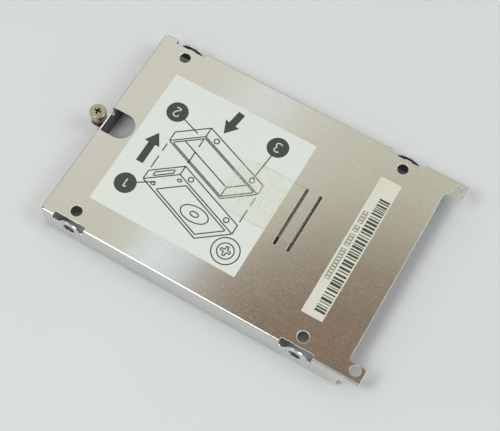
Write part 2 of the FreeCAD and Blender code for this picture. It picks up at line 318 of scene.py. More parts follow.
def brushedStainless(s):
    # Stainless sheet, belt-brushed along its length on the show side: mirrors softly, more across the grain
    # than along it, with fine streaks and short dull flecks; cut edges are raw and pale, the back is dull mill
    # finish and painted a darker grey as shade
    material, tree = newMaterial("brushedStainless")
    where = addNode(tree, "ShaderNodeTexCoord")
    along = addNode(tree, "ShaderNodeMapping", {"Vector": (where, "Object"), "Scale": (
        1 / (s["grainLength"] * mm), 1 / (s["grainWidth"] * mm), 1 / (s["grainWidth"] * mm))})
    streaks = addNode(tree, "ShaderNodeTexNoise", {"Vector": (along, "Vector"), "Scale": 1.0, "Detail": 4.0,
                                                   "Roughness": 0.6})
    short = addNode(tree, "ShaderNodeMapping", {"Vector": (where, "Object"), "Scale": (
        1 / (s["fleckLength"] * mm), 1 / (s["grainWidth"] * mm), 1 / (s["grainWidth"] * mm))})
    flecks = addNode(tree, "ShaderNodeTexNoise", {"Vector": (short, "Vector"), "Scale": 1.0, "Detail": 2.0})
    cloud = addNode(tree, "ShaderNodeTexNoise", {"Vector": (where, "Object"), "Scale": 1 / (s["smudge"] * mm),
                                                 "Detail": 3.0})
    # the back mask: where the steel is painted a darker grey as shade
    back = addNode(tree, "ShaderNodeAttribute", attribute_name="back")
    cut = addNode(tree, "ShaderNodeAttribute", attribute_name="cut")
    tone = addNode(tree, "ShaderNodeMix", {"Factor": (streaks, "Fac"), "A": linear(s["steel"]),
                                           "B": linear(s["steelDull"])}, data_type="RGBA")
    worn = addNode(tree, "ShaderNodeMapRange", {
        "Value": (cloud, "Fac"), "From Min": s["smudgeRange"][0], "From Max": s["smudgeRange"][1],
        "To Min": s["roughness"] + s["wear"][0], "To Max": s["roughness"] + s["wear"][1]})
    dulled = addNode(tree, "ShaderNodeMapRange", {
        "Value": (flecks, "Fac"), "From Min": s["fleckRange"][0], "From Max": s["fleckRange"][1],
        "To Max": s["fleckRoughness"]})
    rough = addNode(tree, "ShaderNodeMath", {0: (dulled, "Result"), 1: (worn, "Result")}, operation="ADD")
    for share, colour, roughness in ((back, "shadedBackSteel", "backRoughness"), (cut, "cutSteel", "cutRoughness")):
        tone = addNode(tree, "ShaderNodeMix", {"Factor": (share, "Fac"), "A": (tone, "Result"),
                                               "B": linear(s[colour])}, data_type="RGBA")
        rough = addNode(tree, "ShaderNodeMix", {"Factor": (share, "Fac"), "A": (rough, 0), "B": s[roughness]},
                        data_type="FLOAT")
    relief = addNode(tree, "ShaderNodeMath", {0: (flecks, "Fac"), 1: s["fleckRelief"], 2: (streaks, "Fac")},
                     operation="MULTIPLY_ADD")
    bump = addNode(tree, "ShaderNodeBump", {"Height": (relief, "Value"), "Strength": s["reliefStrength"],
                                            "Distance": s["relief"] * mm})
    across = addNode(tree, "ShaderNodeTangent", direction_type="RADIAL", axis="X")
    skin = addNode(tree, "ShaderNodeBsdfPrincipled", {
        "Base Color": (tone, "Result"), "Metallic": 1.0, "Roughness": (rough, "Result"),
        "Anisotropic": s["anisotropy"], "Tangent": (across, "Tangent"), "Normal": (bump, "Normal")})
    return surfaced(material, skin)


def rolledEdges(work, s, m=meshSettings):  # rounds the outer cut edges, the rims first, and marks the new faces
    cutMark = work.faces.layers.float.new("cut")
    sharp = math.radians(s["sharpAngle"])
    rimFoot = max(v.co.z for v in work.verts) / mm - s.get("rimRoll", 0) - m["rimSlack"]

    def within(point, zones):  # zones are mirrored across the tray
        return any(x0 < point.x < x1 and y0 < abs(point.y) < y1 for x0, y0, x1, y1 in zones)

    for roll in ("rimRoll", "edgeRoll"):
        edges = []
        for edge in work.edges:
            middle = (edge.verts[0].co + edge.verts[1].co) / 2 / mm
            onRim = middle.z > rimFoot and within(middle, s.get("rims", ()))
            kept = within(middle, s.get("keptSharp", ()))
            outer = edge.is_manifold and edge.is_convex and edge.calc_face_angle() > sharp
            if outer and not kept and onRim == (roll == "rimRoll"):
                edges.append(edge)
        if not edges:
            continue
        rolled = bmesh.ops.bevel(work, geom=edges, offset=s[roll] * mm, offset_type="OFFSET",
                                 segments=s["edgeSteps"], profile=0.5, affect="EDGES", clamp_overlap=False,
                                 harden_normals=False)
        for face in rolled["faces"]:
            face[cutMark] = 1.0
    bmesh.ops.dissolve_degenerate(work, dist=m["sliver"] * mm, edges=work.edges)


def markShadedBack(work, s, m=meshSettings):  # the tray's underside and the inner sides of its flanges, marked to be painted a darker grey as shade
    steep = 0.5  # a normal that leans more than this to a side belongs to a wall
    shadedBackMark = work.faces.layers.float.new("back")
    work.faces.ensure_lookup_table()
    for face in work.faces:
        face.normal_update()
        middle = face.calc_center_median() / mm
        inwards = face.normal.y * middle.y < 0 and abs(face.normal.y) > steep
        innerSide = inwards and abs(middle.y) > s["flangeInside"]
        innerFront = face.normal.x > steep and middle.x < s["frontInside"]
        below = face.normal.z < m["lookingDown"]
        face[shadedBackMark] = 1.0 if below or innerSide or innerFront else 0.0


def cornerNormals(work, angle, m=meshSettings):
    # one normal per face corner: flats lead, then bends and walls, then rolled edges
    cutMark = work.faces.layers.float["cut"]
    close, square = (math.cos(math.radians(reach)) for reach in (angle, m["squareAngle"]))
    flatArea = m["flatArea"] * mm * mm
    work.faces.index_update()
    areas, ranks = [], []
    for face in work.faces:
        face.normal_update()
        areas.append(face.calc_area())
        flat = max(abs(share) for share in face.normal) > square and areas[-1] > flatArea
        ranks.append(2 if flat else 0 if face[cutMark] else 1)
    normals = []
    for face in work.faces:
        for corner in face.loops:
            near = [f for f in corner.vert.link_faces if f is face or f.normal.dot(face.normal) > close]
            lead = max(ranks[f.index] for f in near)
            total = Vector()
            for f in near:
                if ranks[f.index] == lead:
                    total += f.normal * areas[f.index]
            normals.append(total.normalized() if total.length else face.normal.copy())
    return normals


def smoothMesh(work, name, angle, steady=False):  # steady sets each corner's own normal
    normals = cornerNormals(work, angle) if steady else None
    mesh = meshOf(work, name)
    mesh.polygons.foreach_set("use_smooth", [True] * len(mesh.polygons))
    mesh.set_sharp_from_angle(angle=math.radians(angle))
    if steady:
        mesh.normals_split_custom_set(normals)
    return mesh


stainless = brushedStainless(traySettings)
trayWork = cadCopy("tray")
rolledEdges(trayWork, traySettings)
markShadedBack(trayWork, traySettings)
traySheet = placed("tray_sheet", smoothMesh(trayWork, "tray_sheet", traySettings["smoothAngle"], steady=True))
dress(traySheet, stainless, "tray_body", "tray_steel", "tray")
print("tray dressed,", len(traySheet.data.polygons), "faces")

# Labels
labelSettings = {"paper": "#DADED6", "cream": "#D5D5C4", "roughness": 0.42, "specular": 0.3,
                 "fibre": 0.5, "fibreTone": 0.03, "relief": 0.01, "reliefStrength": 0.1}


def labelPaper(name, colour, s):
    # Coated label paper, calendered: near white with a faint fibre and a low sheen
    material, tree = newMaterial(name)
    where = addNode(tree, "ShaderNodeTexCoord")
    fibre = addNode(tree, "ShaderNodeTexNoise", {"Vector": (where, "Object"), "Scale": 1 / (s["fibre"] * mm),
                                                 "Detail": 4.0})
    tone = addNode(tree, "ShaderNodeMapRange", {"Value": (fibre, "Fac"), "To Min": 1 - s["fibreTone"],
                                                "To Max": 1 + s["fibreTone"]})
    paper = addNode(tree, "ShaderNodeVectorMath", {0: linear(colour)[:3], "Scale": (tone, "Result")},
                    operation="SCALE")
    bump = addNode(tree, "ShaderNodeBump", {"Height": (fibre, "Fac"), "Strength": s["reliefStrength"],
                                            "Distance": s["relief"] * mm})
    skin = addNode(tree, "ShaderNodeBsdfPrincipled", {
        "Base Color": (paper, "Vector"), "Roughness": s["roughness"], "Specular IOR Level": s["specular"],
        "Normal": (bump, "Normal")})
    return surfaced(material, skin)


whitePaper = labelPaper("whiteLabelPaper", labelSettings["paper"], labelSettings)
creamPaper = labelPaper("creamLabelPaper", labelSettings["cream"], labelSettings)
for node, material in (("diagram_label", whitePaper), ("barcode_label", creamPaper)):
    coat(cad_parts[node], material)

# Print
printSettings = {
    "ink": "#3A403D", "inkWorn": "#4A504C", "grain": 0.25, "roughness": 0.5, "specular": 0.3,
    "thickness": 0.012, "sink": 0.006,  # mm of ink above and below the paper's face
    "stroke": 0.38, "cornerRadius": 0.25, "cornerSteps": 4,
    "disc": 6.9, "discSides": 56, "numeralStroke": 0.36, "numeralLift": 0.008,
}


def printInk(s):
    # Screen-printed label ink: near black, slightly green, a little uneven where it sank into the paper
    material, tree = newMaterial("screenInk")
    where = addNode(tree, "ShaderNodeTexCoord")
    uneven = addNode(tree, "ShaderNodeTexNoise", {"Vector": (where, "Object"), "Scale": 1 / (s["grain"] * mm),
                                                  "Detail": 3.0})
    tone = addNode(tree, "ShaderNodeMix", {"Factor": (uneven, "Fac"), "A": linear(s["ink"]),
                                           "B": linear(s["inkWorn"])}, data_type="RGBA")
    skin = addNode(tree, "ShaderNodeBsdfPrincipled", {
        "Base Color": (tone, "Result"), "Roughness": s["roughness"], "Specular IOR Level": s["specular"]})
    return surfaced(material, skin)


ink = printInk(printSettings)
diagramLow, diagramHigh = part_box("diagram_label")
diagramMiddle = (diagramLow + diagramHigh) / 2
paperTop = diagramHigh.z
inkHeight = (printSettings["thickness"] + printSettings["sink"]) * mm
inkMiddle = paperTop + (printSettings["thickness"] - printSettings["sink"]) * mm / 2


def onLabel(right, up, z):  # the print reads from the tray's far side, so its right is -X and its up is -Y
    return Vector((diagramMiddle.x - right * mm, diagramMiddle.y - up * mm, z))


def softened(tree, given, curve):  # rounds a flat curve's corners and keeps a stroke along it level
    soft = addNode(tree, "GeometryNodeFilletCurve", {
        "Curve": curve, "Radius": (given, "Corner Radius"), "Count": (given, "Corner Steps"),
        "Limit Radius": True}, mode="POLY")
    return addNode(tree, "GeometryNodeSetCurveNormal", {"Curve": (soft, "Curve")}, mode="Z_UP")


def stroked(tree, given, curve, caps=False):  # a stroke along a curve, with ends if the curve is open
    nib = addNode(tree, "GeometryNodeCurvePrimitiveQuadrilateral", {"Width": (given, "Stroke"),
                                                                   "Height": (given, "Height")})
    return addNode(tree, "GeometryNodeCurveToMesh", {"Curve": (curve, "Curve"), "Profile Curve": (nib, "Curve"),
                                                     "Fill Caps": caps})


def strokeTree():
    tree, given = newTree("inkStrokes", ("Stroke", "Height", "Corner Radius"), ("Corner Steps",), "Ink")
    drawn = stroked(tree, given, softened(tree, given, (given, "Geometry")), caps=True)
    return closeTree(tree, (drawn, "Mesh"), (given, "Ink"))


strokes = strokeTree()


def drawLines(name, lines, z, stroke, material, s):  # lines are (points, closed) pairs on the label, in mm
    data = bpy.data.curves.new(name, "CURVE")
    data.dimensions = "3D"
    for points, closed in lines:
        spline = data.splines.new("POLY")
        spline.points.add(len(points) - 1)
        for point, (right, up) in zip(spline.points, points):
            point.co = (*onLabel(right, up, z), 1.0)
        spline.use_cyclic_u = closed
    source = bpy.data.objects.new(name + "_lines", data)
    scene.collection.objects.link(source)
    piece = grown(name, source, strokes, {
        "Stroke": stroke * mm, "Height": inkHeight, "Corner Radius": s["cornerRadius"] * mm,
        "Corner Steps": s["cornerSteps"], "Ink": material})
    return dress(piece, material, "tray_body", "label_paper")


# The drawing: a drive lowered into a plain tray, as three numbered steps, in a slanted view
drawingSettings = {
    "along": (0.86, -0.33), "across": (0.52, 0.40),  # slanted axes on the label
    "trayPlace": (-17.5, -5.0), "length": 27.0, "width": 17.0, "wall": 3.4, "sheet": 0.9,
    "lift": 15.2, "thick": 3.2,
    "hole": 0.8, "holeSides": 16, "holeShares": (0.16, 0.84),  # shares are of the length or width
    "floorStart": 0.42, "floorEnd": 4.2,  # how far the tray's floor stays in sight
    "coverInset": 1.6, "coverEnd": 5.0,
    "spindleShare": 0.36, "spindleFlat": 0.55, "spindle": ((4.6, 36), (1.4, 20)),  # radius and sides of rings
    "plugShares": (0.22, 0.78), "plugInset": (1.0, 0.8),
    "studShares": (0.14, 0.86), "stud": (2.5, 0.7, 14, 0.6),  # from the end, radius, sides, flattening
    "dashGap": 1.2, "dash": 3.0, "dashPitch": 4.8,
    "discs": {"1": (18.4, 15.2), "2": (17.6, -13.4), "3": (-15.0, -18.4)},
    # disc 1 points at the drive's top, 2 at the tray's end and 3 at its near hole
    "pointShares": {"1": (0.93, 0.75), "2": (1.0, 0.3), "3": (0.16, 0.0)},
    "detail": (-18.6, 19.0, 4.3),  # a screw head drawn larger: middle and radius
    "detailRings": ((1.0, 40), (0.6, 32)), "crossArm": 0.36, "crossHalf": 0.09,  # shares of its radius, sides
}


def slanted(s, a, b, c):  # a place along, across and up in the slanted view
    return (s["trayPlace"][0] + a * s["along"][0] + b * s["across"][0],
            s["trayPlace"][1] + a * s["along"][1] + b * s["across"][1] + c)


def ringOf(centre, radius, sides, flat=1.0):
    return [(centre[0] + radius * math.cos(2 * math.pi * i / sides),
             centre[1] + radius * flat * math.sin(2 * math.pi * i / sides)) for i in range(sides)]


def leader(disc, target, radius):  # a line that starts at the disc's edge
    start = Vector(disc) + (Vector(target) - Vector(disc)).normalized() * radius
    return [tuple(start), target], False


def levelFrame(at, near, far, left, right, c):  # a closed rectangle at one height
    return [at(near, left, c), at(far, left, c), at(far, right, c), at(near, right, c)], True


def boxLines(at, length, width, low, high):  # a box without its hidden lines
    return [levelFrame(at, 0, length, 0, width, high),
            ([at(0, 0, high), at(0, 0, low), at(length, 0, low), at(length, width, low),
              at(length, width, high)], False),
            ([at(length, 0, low), at(length, 0, high)], False)]


def sideHoles(at, s, c):
    middles = [at(s["length"] * share, 0, c) for share in s["holeShares"]]
    return [(ringOf(middle, s["hole"], s["holeSides"]), True) for middle in middles]


def trayLines(s):  # an open tray without its hidden lines
    length, width, wall, sheet = (s[k] for k in ("length", "width", "wall", "sheet"))
    at = functools.partial(slanted, s)
    far = width - sheet
    lines = boxLines(at, length, width, 0, wall) + [
        levelFrame(at, sheet, length - sheet, sheet, far, wall),
        # inside: the far corner and the floor's two far edges, as far as the near walls leave them in sight
        ([at(sheet, far, wall), at(sheet, far, 0)], False),
        ([at(sheet, s["floorStart"] * width, 0), at(sheet, far, 0), at(length - s["floorEnd"], far, 0)], False)]
    return lines + sideHoles(at, s, wall / 2)


def driveLines(s):  # a closed drive held above the tray: cover plate, spindle, screws and plug
    length, width, low, high = s["length"], s["width"], s["lift"], s["lift"] + s["thick"]
    at = functools.partial(slanted, s)
    inset = s["coverInset"]
    hub = at(length * s["spindleShare"], width / 2, high)
    left, right = (width * share for share in s["plugShares"])
    foot, top = low + s["plugInset"][0], high - s["plugInset"][1]
    lines = boxLines(at, length, width, low, high)
    lines.append(levelFrame(at, inset, length - s["coverEnd"], inset, width - inset, high))
    for radius, sides in s["spindle"]:
        lines.append((ringOf(hub, radius, sides, s["spindleFlat"]), True))
    plug = ((left, foot), (left, top), (right, top), (right, foot))
    lines.append(([at(length, b, c) for b, c in plug], True))
    lines += sideHoles(at, s, (low + high) / 2)
    fromEnd, *form = s["stud"]
    for share in s["studShares"]:
        lines.append((ringOf(at(length - fromEnd, width * share, high), *form), True))
    return lines


def drawingLines(s, discRadius):
    length, width, wall, lift = (s[k] for k in ("length", "width", "wall", "lift"))
    lines = trayLines(s) + driveLines(s)
    start = wall + s["dashGap"]
    for a, b in ((0, 0), (length, 0), (length, width)):  # dashes from the drive's corners down to the tray's
        for low, high in ((start, start + s["dash"]), (start + s["dashPitch"], lift - s["dashGap"])):
            lines.append(([slanted(s, a, b, low), slanted(s, a, b, high)], False))
    heights = {"1": lift + s["thick"], "2": wall / 2, "3": wall / 2 - s["hole"]}
    for numeral, (a, b) in s["pointShares"].items():
        target = slanted(s, length * a, width * b, heights[numeral])
        lines.append(leader(s["discs"][numeral], target, discRadius))
    right, up, radius = s["detail"]
    for share, sides in s["detailRings"]:
        lines.append((ringOf((right, up), radius * share, sides), True))
    arm, half = radius * s["crossArm"], radius * s["crossHalf"]
    cross = ((arm, half), (half, half), (half, arm), (-half, arm), (-half, half), (-arm, half),
             (-arm, -half), (-half, -half), (-half, -arm), (half, -arm), (half, -half), (arm, -half))
    lines.append(([(right + x, up + y) for x, y in cross], True))
    return lines


drawLines("diagram_lines", drawingLines(drawingSettings, printSettings["disc"] / 2), inkMiddle,
          printSettings["stroke"], ink, printSettings)


def discTree():
    tree, given = newTree("inkDiscs", ("Radius", "Height"), ("Sides",), "Ink")
    disc = addNode(tree, "GeometryNodeMeshCylinder", {"Vertices": (given, "Sides"), "Radius": (given, "Radius"),
                                                      "Depth": (given, "Height")})
    spread = addNode(tree, "GeometryNodeInstanceOnPoints", {"Points": (given, "Geometry"),
                                                            "Instance": (disc, "Mesh")})
    return closeTree(tree, (spread, "Instances"), (given, "Ink"))


def makeDiscs(s, d):
    middles = startPoints("disc_points", [onLabel(*place, inkMiddle) for place in d["discs"].values()])
    piece = grown("diagram_discs", middles, discTree(), {
        "Radius": s["disc"] / 2 * mm, "Height": inkHeight, "Sides": s["discSides"], "Ink": ink})
    return dress(piece, ink, "tray_body", "label_paper")


makeDiscs(printSettings, drawingSettings)

numeralShapes = {  # plain numerals, in mm about a disc's middle
    "1": [(-0.75, 0.75), (0.1, 1.5), (0.1, -1.5)],
    "2": [(-0.95, 0.8), (-0.75, 1.35), (0.0, 1.6), (0.75, 1.35), (0.95, 0.7), (0.6, 0.0), (-1.0, -1.5),
          (1.0, -1.5)],
    "3": [(-0.9, 1.2), (-0.3, 1.6), (0.5, 1.5), (0.85, 0.85), (0.5, 0.2), (-0.2, 0.05), (0.6, -0.15),
          (0.95, -0.8), (0.55, -1.45), (-0.25, -1.6), (-0.95, -1.2)],
}


def makeNumerals(s, d):
    lines = []
    for numeral, shape in numeralShapes.items():
        right, up = d["discs"][numeral]
        lines.append(([(right + a, up + b) for a, b in shape], False))
    drawLines("diagram_numerals", lines, inkMiddle + s["numeralLift"] * mm, s["numeralStroke"], whitePaper, s)


makeNumerals(printSettings, drawingSettings)


def flatShapes(name, outlines, material):  # filled shapes printed on the label
    work = bmesh.new()
    for outline in outlines:
        foot = [work.verts.new(onLabel(right, up, inkMiddle - inkHeight / 2)) for right, up in outline]
        face = work.faces.new(foot)
        grownFace = bmesh.ops.extrude_face_region(work, geom=[face])
        top = [v for v in grownFace["geom"] if isinstance(v, bmesh.types.BMVert)]
        bmesh.ops.translate(work, verts=top, vec=(0, 0, inkHeight))
    bmesh.ops.recalc_face_normals(work, faces=work.faces)
    return dress(placed(name, meshOf(work, name)), material, "tray_body", "label_paper")


arrowSettings = {"shaft": 2.4, "head": 5.2, "headLength": 4.2, "arrows": (
    ((18.6, 7.0), (18.6, -4.4)), ((0.2, -23.0), (1.6, -14.2)))}


def blockArrow(s, tail, tip):
    tail, tip = Vector(tail), Vector(tip)
    ahead = (tip - tail).normalized()
    side = Vector((-ahead.y, ahead.x))
    neck = tip - ahead * s["headLength"]
    half, wide = s["shaft"] / 2, s["head"] / 2
    return [tail - side * half, neck - side * half, neck - side * wide, tip, neck + side * wide,
            neck + side * half, tail + side * half]


flatShapes("diagram_arrows", [blockArrow(arrowSettings, *ends) for ends in arrowSettings["arrows"]], ink)

# Barcode label: plain bars of random widths, and groups of empty boxes beside them
barSettings = {
    "count": 39, "thinnest": 0.22, "widest": 0.95, "gapLeast": 0.24, "gapMost": 0.72, "length": 3.4, "seed": 7,
    "fromNearEnd": 2.2, "fromRearEdge": 0.4,
    "boxGroups": (10, 4, 2, 4), "boxPitch": 1.1, "boxGap": 0.9, "boxSize": (1.35, 0.78), "boxStroke": 0.24,
    "boxFromFront": 1.55, "boxFromNearEnd": 12.9,
}


def barTree():
    tree, given = newTree("labelBars", ("Thinnest", "Widest", "Gap Least", "Gap Most", "Length", "Height"),
                          ("Count", "Seed"), "Ink")
    row = addNode(tree, "GeometryNodeMeshLine", {"Count": (given, "Count"), "Offset": (0.0, 0.0, 0.0)})
    width = addNode(tree, "FunctionNodeRandomValue", {2: (given, "Thinnest"), 3: (given, "Widest"),
                                                      "Seed": (given, "Seed")}, data_type="FLOAT")
    other = addNode(tree, "FunctionNodeIntegerMath", {0: (given, "Seed"), 1: 1}, operation="ADD")
    gap = addNode(tree, "FunctionNodeRandomValue", {2: (given, "Gap Least"), 3: (given, "Gap Most"),
                                                    "Seed": (other, 0)}, data_type="FLOAT")
    step = addNode(tree, "ShaderNodeMath", {0: (width, 1), 1: (gap, 1)}, operation="ADD")
    start = addNode(tree, "GeometryNodeAccumulateField", {0: (step, "Value")}, data_type="FLOAT")
    middle = addNode(tree, "ShaderNodeMath", {0: (width, 1), 1: 0.5, 2: (start, "Trailing")},
                     operation="MULTIPLY_ADD")
    place = addNode(tree, "ShaderNodeCombineXYZ", {"Y": (middle, "Value")})
    spaced = addNode(tree, "GeometryNodeSetPosition", {"Geometry": (row, "Mesh"),
                                                       "Position": (place, "Vector")})
    size = addNode(tree, "ShaderNodeCombineXYZ", {"X": (given, "Length"), "Y": (width, 1),
                                                  "Z": (given, "Height")})
    bar = addNode(tree, "GeometryNodeMeshCube", {"Size": (1.0, 1.0, 1.0)})
    bars = addNode(tree, "GeometryNodeInstanceOnPoints", {
        "Points": (spaced, "Geometry"), "Instance": (bar, "Mesh"), "Scale": (size, "Vector")})
    return closeTree(tree, (bars, "Instances"), (given, "Ink"))


def boxTree():
    tree, given = newTree("labelBoxes", ("Box Length", "Box Width", "Stroke", "Height"), (), "Ink")
    ring = addNode(tree, "GeometryNodeCurvePrimitiveQuadrilateral", {"Width": (given, "Box Length"),
                                                                    "Height": (given, "Box Width")})
    boxes = addNode(tree, "GeometryNodeInstanceOnPoints", {"Points": (given, "Geometry"),
                                                           "Instance": (stroked(tree, given, ring), "Mesh")})
    return closeTree(tree, (boxes, "Instances"), (given, "Ink"))


def shifted(piece, place):
    piece.data.transform(Matrix.Translation(place))
    return piece


def makeBarcode(s):
    low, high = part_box("barcode_label")
    bars = grown("barcode_bars", startPoints("bar_row"), barTree(), {
        "Count": s["count"], "Thinnest": s["thinnest"] * mm, "Widest": s["widest"] * mm,
        "Gap Least": s["gapLeast"] * mm, "Gap Most": s["gapMost"] * mm, "Length": s["length"] * mm,
        "Height": inkHeight, "Seed": s["seed"], "Ink": ink})
    shifted(bars, Vector((high.x - (s["fromRearEdge"] + s["length"] / 2) * mm, low.y + s["fromNearEnd"] * mm,
                          inkMiddle)))
    spots, reach = [], low.y + s["boxFromNearEnd"] * mm
    for group in s["boxGroups"]:
        for _ in range(group):
            spots.append((low.x + s["boxFromFront"] * mm, reach, inkMiddle))
            reach += s["boxPitch"] * mm
        reach += s["boxGap"] * mm
    boxLength, boxWidth = s["boxSize"]
    boxes = grown("barcode_boxes", startPoints("box_spots", spots), boxTree(), {
        "Box Length": boxLength * mm, "Box Width": boxWidth * mm, "Stroke": s["boxStroke"] * mm,
        "Height": inkHeight, "Ink": ink})
    for piece in (bars, boxes):
        dress(piece, ink, "tray_body", "label_paper")


makeBarcode(barSettings)
print("labels printed")

# Pull strap
strapSettings = {
    "lift": 0.03, "edgeRoll": 0.05, "edgeSteps": 2, "sharpAngle": 40.0, "smoothAngle": 50.0,
    # loopShadeTint: a grey tint painted as shade on the loop under the plate
    "tint": "#FFFFFE", "loopShadeTint": "#BCB9AD", "loopDepth": 0.05,  # mm under the paper, where the loop starts
    "haze": "#BBBAAB", "hazeShare": 0.15, "edgeHaze": 0.25, "cloud": 6.0,
    "gloss": 0.12, "faceGloss": 0.045, "glossRise": 5.0, "edgeDull": 0.9,
    "gripCount": 4, "gripPitch": 4.65, "gripSize": (1.8, 9.0), "gripFromEnd": 1.85, "gripZone": 4.0,
    "gripRound": 0.48, "gripSteps": 8,  # rounding of the ends as a share of the width
    "gripStroke": 0.10, "gripHeight": 0.03,
    "gripTone": "#F6F7EE", "gripRoughness": 0.4,
}


def clearFilm(s):
    # Clear polyester film, cast: glossy, see-through, hazy on its outer face from handling and more so along
    # its cut edges, and tinted grey where it loops under the plate, as painted shade
    material, tree = newMaterial("clearFilm")
    where = addNode(tree, "ShaderNodeTexCoord")
    cloud = addNode(tree, "ShaderNodeTexNoise", {"Vector": (where, "Object"), "Scale": 1 / (s["cloud"] * mm)})
    cut = addNode(tree, "ShaderNodeAttribute", attribute_name="cut")
    face = addNode(tree, "ShaderNodeMath", {0: (cloud, "Fac"), 1: 2 * s["hazeShare"]}, operation="MULTIPLY")
    rubbed = addNode(tree, "ShaderNodeMath", {0: (cut, "Fac"), 1: s["edgeHaze"], 2: (face, "Value")},
                     operation="MULTIPLY_ADD")
    # only the outer face is rubbed, neither the face that lies down nor a face met from inside the film
    under = addNode(tree, "ShaderNodeAttribute", attribute_name="under")
    side = addNode(tree, "ShaderNodeNewGeometry")
    inner = addNode(tree, "ShaderNodeMath", {0: (under, "Fac"), 1: (side, "Backfacing")}, operation="MAXIMUM")
    outer = addNode(tree, "ShaderNodeMath", {0: 1.0, 1: (inner, "Value")}, operation="SUBTRACT")
    hazy = addNode(tree, "ShaderNodeMath", {0: (rubbed, "Value"), 1: (outer, "Value")}, operation="MULTIPLY")
    # the loop under the plate darkens what shows through it: painted shade
    loop = addNode(tree, "ShaderNodeAttribute", attribute_name="loop")
    tint = addNode(tree, "ShaderNodeMix", {"Factor": (loop, "Fac"), "A": linear(s["tint"]),
                                           "B": linear(s["loopShadeTint"])}, data_type="RGBA")
    clear = addNode(tree, "ShaderNodeBsdfTransparent", {"Color": (tint, "Result")})
    haze = addNode(tree, "ShaderNodeBsdfDiffuse", {"Color": linear(s["haze"])})
    body = addNode(tree, "ShaderNodeMixShader", {0: (hazy, "Value"), 1: (clear, "BSDF"), 2: (haze, "BSDF")})
    shine = addNode(tree, "ShaderNodeBsdfGlossy", {"Color": (1, 1, 1, 1), "Roughness": s["gloss"]})
    # gloss rises towards a glancing view
    slope = addNode(tree, "ShaderNodeLayerWeight", {"Blend": 0.5})
    steep = addNode(tree, "ShaderNodeMath", {0: (slope, "Facing"), 1: s["glossRise"]}, operation="POWER")
    gloss = addNode(tree, "ShaderNodeMath", {0: (steep, "Value"), 1: 1 - s["faceGloss"], 2: s["faceGloss"]},
                    operation="MULTIPLY_ADD")
    dull = addNode(tree, "ShaderNodeMath", {0: (cut, "Fac"), 1: -s["edgeDull"], 2: 1.0},
                   operation="MULTIPLY_ADD")
    bare = addNode(tree, "ShaderNodeMath", {0: (dull, "Value"), 1: (outer, "Value")}, operation="MULTIPLY")
    sheen = addNode(tree, "ShaderNodeMath", {0: (gloss, "Value"), 1: (bare, "Value")}, operation="MULTIPLY")
    skin = addNode(tree, "ShaderNodeMixShader", {0: (sheen, "Value"), 1: (body, "Shader"), 2: (shine, "BSDF")})
    return surfaced(material, skin, "Shader")


def pressedFilm(s):
    # The same film where a die has pressed it: the stretched ridge turns white and half matt
    material, tree = newMaterial("pressedFilm")
    skin = addNode(tree, "ShaderNodeBsdfPrincipled", {"Base Color": linear(s["gripTone"]),
                                                      "Roughness": s["gripRoughness"]})
    return surfaced(material, skin)


def makeStrap(s, m=meshSettings):
    work = cadCopy("pull_strap")
    foot = [v for v in work.verts if abs(v.co.z - paperTop) < m["merge"] * mm]
    bmesh.ops.translate(work, verts=foot, vec=(0, 0, s["lift"] * mm))  # clear of the ink under it
    rolledEdges(work, s)
    loopShadeMark, underMark = (work.faces.layers.float.new(name) for name in ("loop", "under"))
    for face in work.faces:  # the loop under the plate is tinted grey, painted shade
        face.normal_update()
        face[loopShadeMark] = 1.0 if face.calc_center_median().z < diagramLow.z - s["loopDepth"] * mm else 0.0
        face[underMark] = 1.0 if face.normal.z < m["lookingDown"] else 0.0
    strap = placed("film_strap", smoothMesh(work, "film_strap", s["smoothAngle"], steady=True))
    return dress(strap, clearFilm(s), "tray_body", "clear_film", "pull_strap")


def gripTree():
    sizes = ("Pitch", "Grip Length", "Grip Width", "Corner Radius", "Stroke", "Height")
    tree, given = newTree("strapGrips", sizes, ("Count", "Corner Steps"), "Film")
    step = addNode(tree, "ShaderNodeCombineXYZ", {"X": (given, "Pitch")})
    row = addNode(tree, "GeometryNodeMeshLine", {"Count": (given, "Count"), "Offset": (step, "Vector")})
    ring = addNode(tree, "GeometryNodeCurvePrimitiveQuadrilateral", {"Width": (given, "Grip Width"),
                                                                    "Height": (given, "Grip Length")})
    ridge = stroked(tree, given, softened(tree, given, (ring, "Curve")))
    grips = addNode(tree, "GeometryNodeInstanceOnPoints", {"Points": (row, "Mesh"),
                                                           "Instance": (ridge, "Mesh")})
    return closeTree(tree, (grips, "Instances"), (given, "Film"))


def makeGrips(s, strap):  # pressed ridges on the strap's free end
    low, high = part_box("pull_strap")
    film = pressedFilm(s)
    gripWidth, gripLength = s["gripSize"]
    gripTop = max(v.co.z for v in strap.data.vertices if v.co.x < diagramHigh.x - s["gripZone"] * mm)
    grips = grown("strap_grips", startPoints("grip_row"), gripTree(), {
        "Count": s["gripCount"], "Pitch": s["gripPitch"] * mm, "Grip Length": gripLength * mm,
        "Grip Width": gripWidth * mm, "Corner Radius": s["gripRound"] * gripWidth * mm,
        "Corner Steps": s["gripSteps"], "Stroke": s["gripStroke"] * mm, "Height": s["gripHeight"] * mm,
        "Film": film})
    shifted(grips, Vector((low.x + s["gripFromEnd"] * mm, (low.y + high.y) / 2, gripTop)))
    return dress(grips, film, "tray_body", "clear_film")


makeGrips(strapSettings, makeStrap(strapSettings))
print("strap laid")

